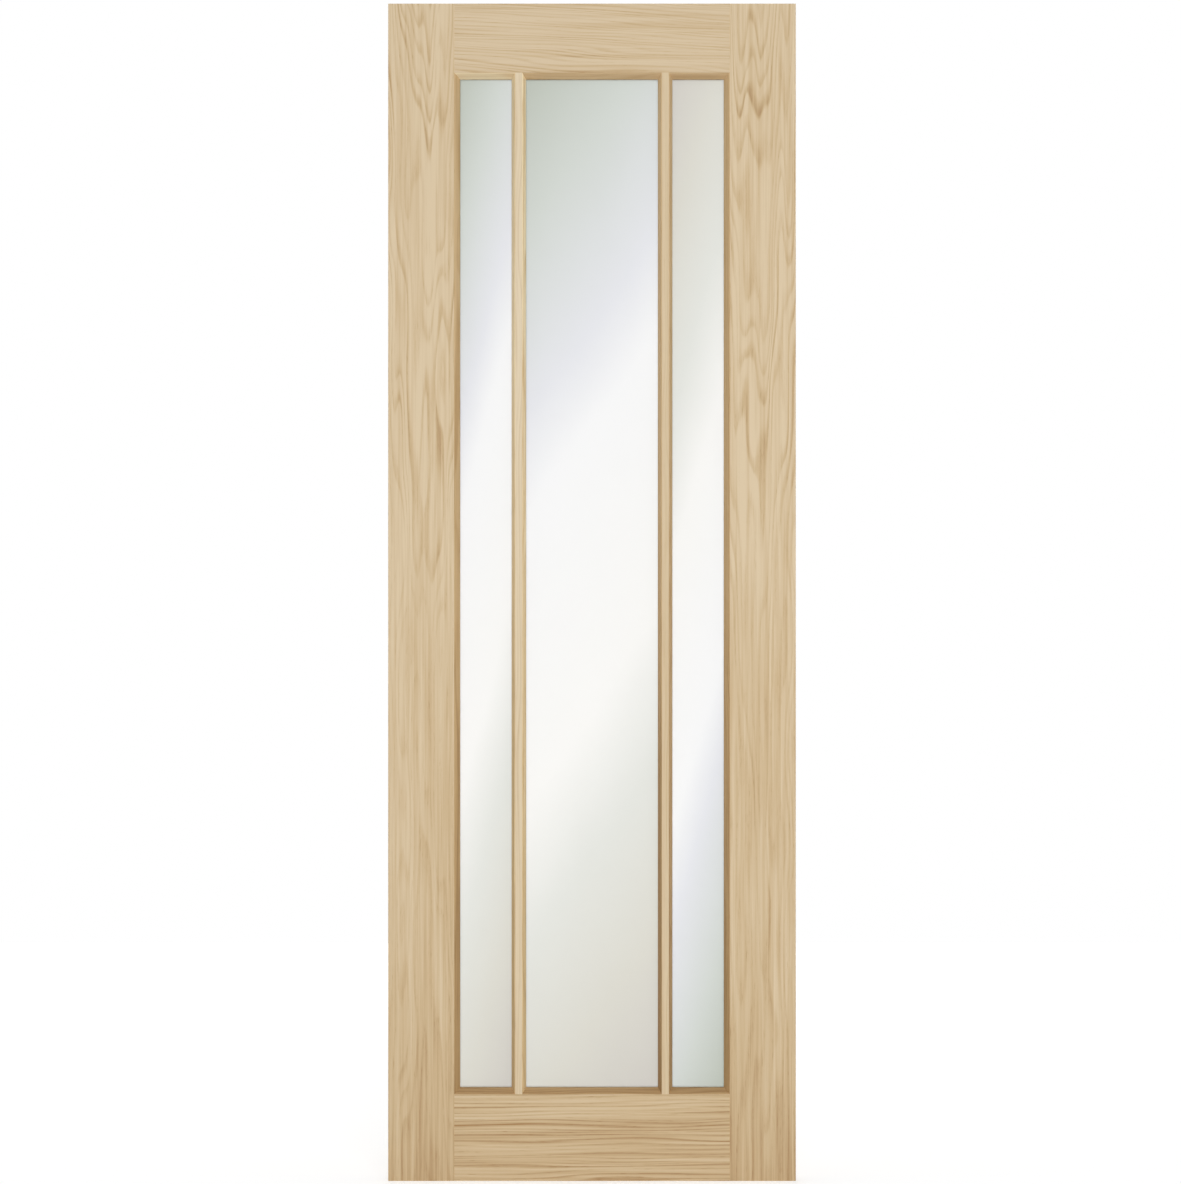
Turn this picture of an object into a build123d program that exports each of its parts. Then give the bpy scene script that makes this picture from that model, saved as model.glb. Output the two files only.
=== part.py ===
"""Glazed oak leaf of a pocket door, in millimetres.

The leaf is engineered joinery. Two stiles run its full height, with a top and a bottom rail between them.
Each of these members is a core with an oak veneer on both faces, and the stiles have a solid oak lipping on
their outer edges. Two solid oak glazing bars divide the opening into three lights. Each light holds one sheet
of glass between a front and a back set of four chamfered oak beads, mitred at their corners.

Frame: X across the leaf, Y through its thickness with the front face at -Y, and Z up. The origin is the
centre of the top edge, where the hangers of a sliding track are fixed, so the leaf reaches down from Z = 0.
"""

import os

from build123d import *

# Leaf
leaf_width = 686.0
leaf_height = 1981.0
leaf_thickness = 35.0
arris_radius = 1.0  # eased long corners of the leaf

# Framing members
stile_width = 111.0  # with its lipping
top_rail_height = 116.0
bottom_rail_height = 146.0
veneer_thickness = 0.6
lipping_width = 8.0
joint_line = 0.3  # hairline between the face veneers of a rail and a stile

# Glazing bars
bar_width = 11.7
bar_offset = 123.4  # from the middle of the leaf to the middle of a bar

# Glass
glass_thickness = 4.0
glass_clearance = 2.0  # between the edge of a pane and the wood around it

# Glazing beads
frame_bead_width = 9.5  # along the stiles and rails
bar_bead_width = 6.3  # along the glazing bars
bead_land = 1.5  # flat strip of a frame bead, flush with the face of the leaf, before its chamfer
bead_toe = 2.0  # square edge that stands on the glass
bead_ease = 0.5  # rounding of the bead's long corners, away from the glass

# Places worked out from the sizes above
half_width = leaf_width / 2
half_thickness = leaf_thickness / 2
half_glass = glass_thickness / 2
core_half_thickness = half_thickness - veneer_thickness
stile_inner_x = half_width - stile_width
opening_top_z = -top_rail_height
opening_bottom_z = bottom_rail_height - leaf_height
opening_height = opening_top_z - opening_bottom_z
opening_middle_z = (opening_top_z + opening_bottom_z) / 2


def block(x_range, y_range, z_range):
    """Rectangular solid between the given limits."""
    (x0, x1), (y0, y1), (z0, z1) = x_range, y_range, z_range
    middle = Pos((x0 + x1) / 2, (y0 + y1) / 2, (z0 + z1) / 2)
    return middle * Box(x1 - x0, y1 - y0, z1 - z0)


def veneers(envelope, x_range, z_range):
    """Front and back face veneers of a member, cut from its envelope."""
    front = envelope & block(x_range, (-half_thickness, -core_half_thickness), z_range)
    back = envelope & block(x_range, (core_half_thickness, half_thickness), z_range)
    return {"front_veneer": front, "back_veneer": back}


def stile(side):
    """Layers of one stile, with its lipped outer edge at -X for side -1 and at +X for side 1."""
    edge_x = side * half_width
    lipping_x = side * (half_width - lipping_width)
    inner_x = side * stile_inner_x
    core_y = (-core_half_thickness, core_half_thickness)
    height = (-leaf_height, 0.0)

    envelope = block(sorted((inner_x, edge_x)), (-half_thickness, half_thickness), height)
    outer_corners = envelope.edges().filter_by(Axis.Z).sort_by(Axis.X)
    outer_corners = outer_corners[-2:] if side > 0 else outer_corners[:2]
    envelope = fillet(outer_corners, arris_radius)

    layers = veneers(envelope, sorted((inner_x, edge_x)), height)
    layers["lipping"] = envelope & block(sorted((lipping_x, edge_x)), core_y, height)
    layers["core"] = envelope & block(sorted((inner_x, lipping_x)), core_y, height)
    return layers


def rail(bottom_z, top_z):
    """Layers of one rail, which fits between the stiles."""
    width = (-stile_inner_x, stile_inner_x)
    height = (bottom_z, top_z)
    envelope = block(width, (-half_thickness, half_thickness), height)
    veneer_end = stile_inner_x - joint_line
    layers = veneers(envelope, (-veneer_end, veneer_end), height)
    layers["core"] = envelope & block(width, (-core_half_thickness, core_half_thickness), height)
    return layers


def glazing_bar(middle_x):
    """Upright bar between the rails, as thick as the leaf."""
    width = (middle_x - bar_width / 2, middle_x + bar_width / 2)
    return block(width, (-half_thickness, half_thickness), (opening_bottom_z, opening_top_z))


def pane(left_x, right_x):
    """Sheet of glass in the light between two uprights, held clear of the wood around it."""
    return block(
        (left_x + glass_clearance, right_x - glass_clearance),
        (-half_glass, half_glass),
        (opening_bottom_z + glass_clearance, opening_top_z - glass_clearance),
    )


def bead_section(width):
    """Outline of a bead in the YZ plane: its back on the wood at Z = 0, its front flush with the leaf.

    The land keeps its share of the width, so that a wide and a narrow bead meet in one flat mitre.
    """
    land = bead_land * width / frame_bead_width
    outline = Polyline(
        (-half_thickness, 0),
        (-half_thickness, -land),
        (-half_glass - bead_toe, -width),
        (-half_glass, -width),
        (-half_glass, 0),
        close=True,
    )
    section = make_face(outline)
    room_side = section.vertices().filter_by(lambda corner: corner.X < -half_glass - bead_toe / 2)
    return fillet(room_side, bead_ease)


def mitred_bead(length, width, left_width, right_width):
    """Front bead along X under the wood at Z = 0, mitred to beads of the given widths at its ends."""
    section_plane = Plane((-length / 2, 0, 0), x_dir=(0, 1, 0), z_dir=(1, 0, 0))
    stick = extrude(section_plane * bead_section(width), length)
    half_length = length / 2
    mitred_outline = Polyline(
        (-half_length, 0),
        (half_length, 0),
        (half_length - right_width, -width),
        (left_width - half_length, -width),
        close=True,
    )
    outline_plane = Plane((0, half_thickness, 0), x_dir=(1, 0, 0), z_dir=(0, -1, 0))
    return stick & extrude(outline_plane * make_face(mitred_outline), leaf_thickness)


def bead_set(left_x, right_x):
    """The four beads of each face round one light."""
    middle_x = (left_x + right_x) / 2
    light_width = right_x - left_x
    left_width = frame_bead_width if left_x <= -stile_inner_x else bar_bead_width
    right_width = frame_bead_width if right_x >= stile_inner_x else bar_bead_width
    top = mitred_bead(light_width, frame_bead_width, left_width, right_width)
    bottom = mitred_bead(light_width, frame_bead_width, right_width, left_width)
    left = mitred_bead(opening_height, left_width, frame_bead_width, frame_bead_width)
    right = mitred_bead(opening_height, right_width, frame_bead_width, frame_bead_width)
    front = {
        "top_bead": Pos(middle_x, 0, opening_top_z) * top,
        "bottom_bead": Pos(middle_x, 0, opening_bottom_z) * Rot(0, 180, 0) * bottom,
        "left_bead": Pos(left_x, 0, opening_middle_z) * Rot(0, -90, 0) * left,
        "right_bead": Pos(right_x, 0, opening_middle_z) * Rot(0, 90, 0) * right,
    }
    back = {name: mirror(bead, about=Plane.XZ) for name, bead in front.items()}
    return {"front": front, "back": back}


def leaf():
    """Every piece of the leaf by name."""
    members = {
        "left_stile": stile(-1),
        "right_stile": stile(1),
        "top_rail": rail(opening_top_z, 0.0),
        "bottom_rail": rail(-leaf_height, opening_bottom_z),
    }
    pieces = {}
    for member, layers in members.items():
        for layer, solid in layers.items():
            pieces[f"{member}_{layer}"] = solid
    pieces["left_glazing_bar"] = glazing_bar(-bar_offset)
    pieces["right_glazing_bar"] = glazing_bar(bar_offset)

    bar_outer_x = bar_offset + bar_width / 2
    bar_inner_x = bar_offset - bar_width / 2
    lights = {
        "left": (-stile_inner_x, -bar_outer_x),
        "centre": (-bar_inner_x, bar_inner_x),
        "right": (bar_outer_x, stile_inner_x),
    }
    for light, (left_x, right_x) in lights.items():
        pieces[f"{light}_pane"] = pane(left_x, right_x)
        for face, beads in bead_set(left_x, right_x).items():
            for bead, solid in beads.items():
                pieces[f"{light}_light_{face}_{bead}"] = solid
    return pieces


os.makedirs("parts", exist_ok=True)
for name, solid in leaf().items():
    export_step(solid, f"parts/{name}.step")
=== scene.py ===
"""Looks of the glazed pocket door leaf: unfinished oak, satin glass, white studio.

Lengths are in metres in the frame of the CAD model: X across the leaf, -Y out of its front, and Z up, with
its origin on the leaf's top edge.
"""

from dataclasses import dataclass, replace
from math import pi

import bpy
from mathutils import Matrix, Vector


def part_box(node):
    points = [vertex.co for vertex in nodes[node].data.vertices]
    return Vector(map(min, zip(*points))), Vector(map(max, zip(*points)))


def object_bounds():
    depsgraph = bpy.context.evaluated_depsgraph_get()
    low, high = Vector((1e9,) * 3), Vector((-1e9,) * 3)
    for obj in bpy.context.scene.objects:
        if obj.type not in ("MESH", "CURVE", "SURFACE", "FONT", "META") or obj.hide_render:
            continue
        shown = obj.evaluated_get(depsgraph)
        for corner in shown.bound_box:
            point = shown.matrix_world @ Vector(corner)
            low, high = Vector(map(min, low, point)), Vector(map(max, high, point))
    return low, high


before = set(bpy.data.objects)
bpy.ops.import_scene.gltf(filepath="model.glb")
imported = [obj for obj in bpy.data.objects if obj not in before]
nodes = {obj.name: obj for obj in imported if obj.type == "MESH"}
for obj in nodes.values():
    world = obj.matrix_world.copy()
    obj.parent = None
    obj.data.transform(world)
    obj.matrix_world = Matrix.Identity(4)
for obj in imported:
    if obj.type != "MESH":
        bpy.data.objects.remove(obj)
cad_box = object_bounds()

leaf_low, leaf_high = cad_box
leaf_middle_z = (leaf_low[2] + leaf_high[2]) / 2
front_y = leaf_low[1]


def srgb(red, green, blue):
    """Linear colour of an sRGB colour given from 0 to 255."""
    channels = []
    for value in (red, green, blue):
        value /= 255
        channels.append(value / 12.92 if value <= 0.04045 else ((value + 0.055) / 1.055) ** 2.4)
    return (*channels, 1.0)


class Signal:
    """Output of a shader node that can be used in arithmetic."""

    def __init__(self, graph, socket):
        self.graph = graph
        self.socket = socket

    def __add__(self, other):
        return self.graph.math("ADD", self, other)

    def __sub__(self, other):
        return self.graph.math("SUBTRACT", self, other)

    def __rsub__(self, other):
        return self.graph.math("SUBTRACT", other, self)

    def __mul__(self, other):
        return self.graph.math("MULTIPLY", self, other)

    def __truediv__(self, other):
        return self.graph.math("DIVIDE", self, other)


class Graph:
    """Shader node tree, with short calls that add a node and return one of its outputs."""

    def __init__(self, tree):
        self.tree = tree
        tree.nodes.clear()

    def node(self, kind, inputs, **settings):
        """Add a node, with signals linked to its inputs and other values set on them."""
        node = self.tree.nodes.new(kind)
        for key, value in settings.items():
            setattr(node, key, value)
        for socket, value in inputs.items():
            if isinstance(value, Signal):
                self.tree.links.new(value.socket, node.inputs[socket])
            else:
                node.inputs[socket].default_value = value
        return node

    def out(self, kind, output, inputs, **settings):
        """Add a node and return the output with that name or number."""
        return Signal(self, self.node(kind, inputs, **settings).outputs[output])

    def math(self, operation, *values):
        return self.out("ShaderNodeMath", 0, dict(enumerate(values)), operation=operation)

    def ramp_up(self, value, start, end):
        """Smooth step from 0 at start to 1 at end."""
        inputs = {"Value": value, "From Min": start, "From Max": end}
        return self.out("ShaderNodeMapRange", 0, inputs, interpolation_type="SMOOTHSTEP")

    def combine(self, x, y, z):
        return self.out("ShaderNodeCombineXYZ", 0, {"X": x, "Y": y, "Z": z})

    def separate(self, vector):
        split = self.node("ShaderNodeSeparateXYZ", {0: vector})
        return [Signal(self, socket) for socket in split.outputs]

    def noise(self, place, grain, detail=2.0, output="Fac"):
        """Noise with a grain, which is its changes per metre across the Z axis and along it."""
        across, along = grain
        scale = (across, across, along)
        scaled = self.out("ShaderNodeVectorMath", 0, {0: place, 1: scale}, operation="MULTIPLY")
        inputs = {"Vector": scaled, "Scale": 1.0, "Detail": detail}
        return self.out("ShaderNodeTexNoise", output, inputs)

    def noise_1d(self, value):
        return self.out("ShaderNodeTexNoise", "Fac", {"W": value, "Scale": 1.0}, noise_dimensions="1D")

    def object_position(self):
        return self.out("ShaderNodeTexCoord", "Object", {})

    def gradient(self, value, stops):
        """Colour along a list of (place, sRGB colour) stops."""
        node = self.node("ShaderNodeValToRGB", {0: value})
        elements = node.color_ramp.elements
        while len(elements) < len(stops):
            elements.new(1.0)
        for element, (place, colour) in zip(elements, stops):
            element.position = place
            element.color = srgb(*colour)
        return Signal(self, node.outputs[0])

    def surface(self, shader):
        self.node("ShaderNodeOutputMaterial", {"Surface": shader})


def new_material(name):
    material = bpy.data.materials.new(name)
    material.use_nodes = True
    return material, Graph(material.node_tree)


@dataclass
class Cut:
    """How a piece of wood was sawn from its log, and its colours.

    The heart of the log runs along the piece, `heart_depth` behind its front face and at `heart_across` on
    the axis across the grain. It leans by `lean`, and bows towards the face on either side of `middle`, so
    the growth rings come out on the face as arches. `wander` and `ripple` are how far slow and quick bends
    shift the rings. `contrast` is the strength of the whole figure. `fade` is the share of their contrast
    that the rings lose in the lower half of the leaf. `darker` lists the steps in which the colour darkens
    towards the foot, partly the wood's own tone and partly painted shade where the light falls off near the
    floor: the height where a step begins, the height where it ends, and how much it adds.
    """

    upright: bool
    heart_across: float
    heart_depth: float
    middle: float = 0.0
    bow: float = 0.0
    lean: float = 0.0
    ring_width: float = 0.0045
    wander: float = 0.012
    ripple: float = 0.020
    contrast: float = 1.0
    fade: float = 0.0
    seed: float = 0.0
    darker: tuple = ((-0.75, -1.20, 0.15), (-1.60, -2.05, 0.30))
    light: tuple = (219, 199, 167)
    tan: tuple = (203, 178, 140)
    brown: tuple = (160, 121, 77)


# Grain of the noises in wood: changes per metre across the piece and along it.
slow_bends = (9.0, 1.3)
quick_bends = (48.0, 4.5)
patch_grain = (34.0, 3.2)
pore_grain = (1300.0, 55.0)
fibre_grain = (420.0, 7.0)
streak_grain = (130.0, 2.6)
tone_grain = (16.0, 1.1)

# How much each part of the figure darkens the wood, from light at 0 through tan to brown at 1.
ring_share = 0.50
streak_share = 0.80
fibre_share = 0.50
pore_share = 0.20
tone_share = 0.50
plain_shade = 0.08
tan_shade = 0.42

# Heights between which the rings fade.
fade_start = -0.55
fade_end = -1.10


def growth_rings(g, cut, place, across, depth, along):
    """Number of growth rings from the heart of the log to a point."""
    slow_x, slow_y, _ = g.separate(g.noise(place, slow_bends, detail=0.0, output="Color"))
    quick_x, quick_y, _ = g.separate(g.noise(place, quick_bends, detail=0.3, output="Color"))
    from_middle = along - cut.middle
    aside = across - cut.heart_across - along * cut.lean
    aside = aside + (slow_x - 0.5) * cut.wander + (quick_x - 0.5) * cut.ripple
    behind = depth - front_y - cut.heart_depth + from_middle * from_middle * cut.bow
    behind = behind + (slow_y - 0.5) * cut.wander + (quick_y - 0.5) * cut.ripple
    radius = g.math("SQRT", aside * aside + behind * behind)
    uneven_growth = g.noise_1d(radius * 45.0 + cut.seed) * 2.0
    return radius / cut.ring_width + uneven_growth


def wood(name, cut):
    """Wood with growth rings, pores along the early wood, fibre streaks and slow changes of tone."""
    material, g = new_material(name)
    x, depth, z = g.separate(g.object_position())
    across, along = (x, z) if cut.upright else (z, x)
    place = g.combine(across + cut.seed, depth + cut.seed, along + cut.seed)

    rings = growth_rings(g, cut, place, across, depth, along)
    phase = g.math("FRACT", rings)
    ring_number = g.math("FLOOR", rings) + cut.seed
    ring_strength = g.out("ShaderNodeTexWhiteNoise", "Value", {"W": ring_number}, noise_dimensions="1D")
    patches = g.ramp_up(g.noise(place, patch_grain, detail=1.0), 0.35, 0.65)
    early_wood = g.ramp_up(phase, 0.30, 0.80) * (1.0 - g.ramp_up(phase, 0.80, 1.0))
    ring_line = early_wood * (ring_strength * 0.6 + 0.4) * (patches * 0.5 + 0.5)
    ring_line = ring_line * (1.0 - g.ramp_up(z, fade_start, fade_end) * cut.fade)

    pores = g.ramp_up(g.noise(place, pore_grain, detail=1.0), 0.58, 0.72) * (early_wood * 0.8 + 0.2)
    fibres = g.noise(place, fibre_grain, detail=3.0) - 0.5
    streaks = g.noise(place, streak_grain, detail=3.0) - 0.5
    tone = g.noise(place, tone_grain) - 0.5

    figure = ring_line * ring_share + streaks * streak_share + fibres * fibre_share + pores * pore_share
    shade = figure * cut.contrast + tone * tone_share + plain_shade
    # Painted shade with some of the wood's own tone: darker in steps towards the foot, where the light falls
    # off.
    for start, end, amount in cut.darker:
        shade = shade + g.ramp_up(z, start, end) * amount
    height = fibres * 0.5 - pores - ring_line * 0.3
    shader = g.out("ShaderNodeBsdfPrincipled", 0, {
        "Base Color": g.gradient(shade, [(0.0, cut.light), (tan_shade, cut.tan), (1.0, cut.brown)]),
        "Roughness": pores * 0.25 + fibres * 0.15 + 0.58,
        "Specular IOR Level": 0.3,
        "Normal": g.out("ShaderNodeBump", 0, {"Strength": 0.35, "Distance": 0.0002, "Height": height}),
    })
    g.surface(shader)
    return material


# Painted sheen on the glass from one corner of a pane to the opposite one, with a white band in the middle.
glass_painted_sheen = [
    (0.00, (192, 198, 186)),
    (0.14, (215, 220, 214)),
    (0.29, (235, 236, 240)),
    (0.37, (252, 252, 252)),
    (0.60, (253, 252, 249)),
    (0.72, (233, 234, 228)),
    (0.86, (225, 223, 213)),
    (1.00, (214, 210, 203)),
]
sheen_slant = 0.17
cloud_share = 0.06
cloud_grain = (5.0, 2.0)
etch_grain = (1400.0, 1400.0)


def satin_glass(name, pane, turned):
    """Etched glass with a painted sheen that changes softly on a slant, turned end for end in one pane."""
    material, g = new_material(name)
    low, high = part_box(pane)
    position = g.object_position()
    x, _, z = g.separate(position)
    right = (x - low[0]) / (high[0] - low[0])
    down = (high[2] - z) / (high[2] - low[2])
    cloud = g.noise(position, cloud_grain) - 0.5
    # Place along the painted sheen, slanting down and across the pane.
    sheen_place = down * (1.0 - sheen_slant) + right * sheen_slant + cloud * cloud_share
    if turned:
        sheen_place = 1.0 - sheen_place
    etch = g.noise(position, etch_grain)
    shader = g.out("ShaderNodeBsdfPrincipled", 0, {
        "Base Color": g.gradient(sheen_place, glass_painted_sheen),
        "Roughness": etch * 0.12 + 0.48,
        "IOR": 1.5,
        "Transmission Weight": 1.0,
        "Normal": g.out("ShaderNodeBump", 0, {"Strength": 0.15, "Distance": 0.00005, "Height": etch}),
    })
    g.surface(shader)
    return material


def tone_and_shade_down_the_leaf(amount):
    """One step of painted shade, with some of the wood's own tone, from the top of the leaf to its foot."""
    return ((-0.1, -2.08, amount),)


stile_heart_x = 0.279
left_stile = Cut(
    upright=True, heart_across=-stile_heart_x, heart_depth=0.095, middle=-1.15, bow=0.025,
    contrast=1.1, fade=0.6, seed=3.1,
)
right_stile = replace(
    left_stile, heart_across=stile_heart_x, heart_depth=0.100, middle=-1.70, bow=0.017, seed=7.7
)
top_rail = Cut(
    upright=False, heart_across=0.12, heart_depth=0.05, lean=-0.06, wander=0.03, ring_width=0.0050,
    seed=1.9, light=(216, 196, 165),
)
bottom_rail = Cut(
    upright=False, heart_across=-2.15, heart_depth=0.06, lean=0.02, ring_width=0.0065,
    contrast=1.15, seed=5.3, darker=tone_and_shade_down_the_leaf(0.25),
)
right_bar = Cut(
    upright=True, heart_across=0.5, heart_depth=0.3, contrast=0.6, seed=4.1, darker=(), light=(216, 196, 163)
)
left_bar = replace(
    right_bar, seed=2.4, darker=((-0.80, -1.20, 0.10), (-1.50, -1.85, 0.10)),
    light=(226, 209, 180), tan=(210, 188, 153),
)
# Bead colours: their own oak, darkened by painted shade of their steep slopes down to the glass.
bead = Cut(
    upright=True, heart_across=-0.6, heart_depth=0.3, contrast=0.6, seed=8.8, darker=tone_and_shade_down_the_leaf(0.55),
    light=(213, 185, 142), tan=(190, 157, 111), brown=(140, 104, 62),
)
# Copies of the bead oak for single beads: a darker one as painted shade, paler ones as painted light.
shaded_bead = replace(bead, darker=tone_and_shade_down_the_leaf(0.70))
lit_bead = replace(
    bead, seed=6.7, darker=tone_and_shade_down_the_leaf(0.42), light=(250, 233, 195), tan=(217, 187, 138)
)
level_bead = replace(
    bead, upright=False, heart_across=0.4, seed=4.6, darker=tone_and_shade_down_the_leaf(0.30),
    light=(206, 178, 137), tan=(184, 151, 107),
)
lit_level_bead = replace(level_bead, seed=3.3, light=(232, 214, 177), tan=(214, 186, 145))
pine = Cut(
    upright=True, heart_across=0.0, heart_depth=0.2, ring_width=0.006, seed=9.2,
    light=(232, 210, 166), tan=(218, 187, 135), brown=(182, 136, 82),
)
level_pine = replace(pine, upright=False, seed=6.1)

materials = {
    "left_stile": wood("oak_left_stile", left_stile),
    "right_stile": wood("oak_right_stile", right_stile),
    "top_rail": wood("oak_top_rail", top_rail),
    "bottom_rail": wood("oak_bottom_rail", bottom_rail),
    "left_glazing": wood("oak_left_bar", left_bar),
    "right_glazing": wood("oak_right_bar", right_bar),
    "upright_bead": wood("oak_upright_beads", bead),
    "shaded_upright_bead": wood("oak_dark_upright_bead", shaded_bead),
    "lit_upright_bead": wood("oak_pale_upright_beads", lit_bead),
    "level_bead": wood("oak_level_beads", level_bead),
    "lit_level_bead": wood("oak_pale_level_bead", lit_level_bead),
    "upright_core": wood("pine_stile_cores", pine),
    "level_core": wood("pine_rail_cores", level_pine),
}
for light in ("left", "centre", "right"):
    pane = f"{light}_pane"
    materials[pane] = satin_glass(f"satin_glass_{light}", pane, turned=light == "right")

# Beads with painted light or shade: copies of the bead oak paler or darker than that of the others.
lit_and_shaded_beads = {
    "left_light_front_top_bead": "lit_level_bead",
    "left_light_front_right_bead": "lit_upright_bead",
    "centre_light_front_left_bead": "lit_upright_bead",
    "centre_light_front_right_bead": "shaded_upright_bead",
}


def material_of(node):
    """Key of the material that a CAD node is made of."""
    if node.endswith("_pane"):
        return node
    if node in lit_and_shaded_beads:
        return lit_and_shaded_beads[node]
    if node.endswith("_bead"):
        return "upright_bead" if node.endswith(("left_bead", "right_bead")) else "level_bead"
    if node.endswith("_core"):
        return "upright_core" if "stile" in node else "level_core"
    side, member, _ = node.split("_", 2)
    return f"{side}_{member}"


for name, piece in nodes.items():
    piece.data.materials.clear()
    piece.data.materials.append(materials[material_of(name)])

# The surroundings are white where they are seen, and light the leaf with this share of it.
ambient = 0.30

# The floor's glow brings its paint, in the light of the lamps, up to white where no shadow falls.
floor_size = 7.0
floor_paint = 0.7
floor_glow = 0.498

# Place and power of the lamps.
lamp_size = 2.6
lamp_z = -0.7
lamps = {
    "key": ((0.5, -6.0, lamp_z), 223.0),
    "back": ((-0.5, 6.0, lamp_z), 218.0),
    "left": ((-6.0, 0.0, lamp_z), 80.0),
    "right": ((6.0, 0.0, lamp_z), 80.0),
    "top": ((0.0, 0.0, 4.0), 50.0),
}


def seen_white(g):
    """1 for rays from the camera, and for those that reflections and glass send on, else 0."""
    path = g.node("ShaderNodeLightPath", {})
    camera, glossy, through = (
        Signal(g, path.outputs[name]) for name in ("Is Camera Ray", "Is Glossy Ray", "Is Transmission Ray")
    )
    return g.math("MAXIMUM", g.math("MAXIMUM", camera, glossy), through)


def surroundings():
    """White world."""
    world = bpy.data.worlds.new("studio")
    world.use_nodes = True
    bpy.context.scene.world = world
    g = Graph(world.node_tree)
    strength = seen_white(g) * (1.0 - ambient) + ambient
    background = g.out("ShaderNodeBackground", 0, {"Color": (1, 1, 1, 1), "Strength": strength})
    g.node("ShaderNodeOutputWorld", {"Surface": background})


def floor():
    """Pale floor under the leaf that keeps its shadow."""
    bpy.ops.mesh.primitive_plane_add(size=floor_size, location=(0.0, 0.0, leaf_low[2]))
    plane = bpy.context.object
    plane.name = "floor"
    material, g = new_material("pale_floor")
    paint = g.out("ShaderNodeBsdfDiffuse", 0, {"Color": (floor_paint, floor_paint, floor_paint, 1)})
    glow = g.out("ShaderNodeEmission", 0, {"Strength": seen_white(g) * floor_glow})
    g.surface(g.out("ShaderNodeAddShader", 0, {0: paint, 1: glow}))
    plane.data.materials.append(material)


def soft_lamp(name, place, power):
    """Square lamp aimed at the middle of the leaf, itself out of sight."""
    lamp = bpy.data.lights.new(name, "AREA")
    lamp.energy = power
    lamp.size = lamp_size
    holder = bpy.data.objects.new(name, lamp)
    holder.location = place
    aim = Vector((0.0, 0.0, leaf_middle_z)) - holder.location
    holder.rotation_euler = aim.to_track_quat("-Z", "Y").to_euler()
    holder.visible_camera = False
    holder.visible_glossy = False
    holder.visible_transmission = False
    bpy.context.scene.collection.objects.link(holder)


def camera():
    """Straight-on camera that frames the leaf as the photograph does.

    It stands a pixel or so to the left of the middle of the leaf, and a little above it.
    """
    image_height = 1184
    leaf_pixels = 1177.4
    pixels_right = -1.5
    pixels_up = 0.3
    distance = 5.2
    sensor = 36.0
    pixel = (leaf_high[2] - leaf_low[2]) / leaf_pixels
    data = bpy.data.cameras.new("camera")
    data.sensor_width = sensor
    data.lens = sensor * distance / (pixel * image_height)
    holder = bpy.data.objects.new("camera", data)
    holder.location = (pixels_right * pixel, front_y - distance, leaf_middle_z + pixels_up * pixel)
    holder.rotation_euler = (pi / 2, 0.0, 0.0)
    bpy.context.scene.collection.objects.link(holder)
    bpy.context.scene.camera = holder


surroundings()
floor()
for name, (place, power) in lamps.items():
    soft_lamp(name, place, power)
camera()
bpy.context.scene.view_settings.view_transform = "Standard"
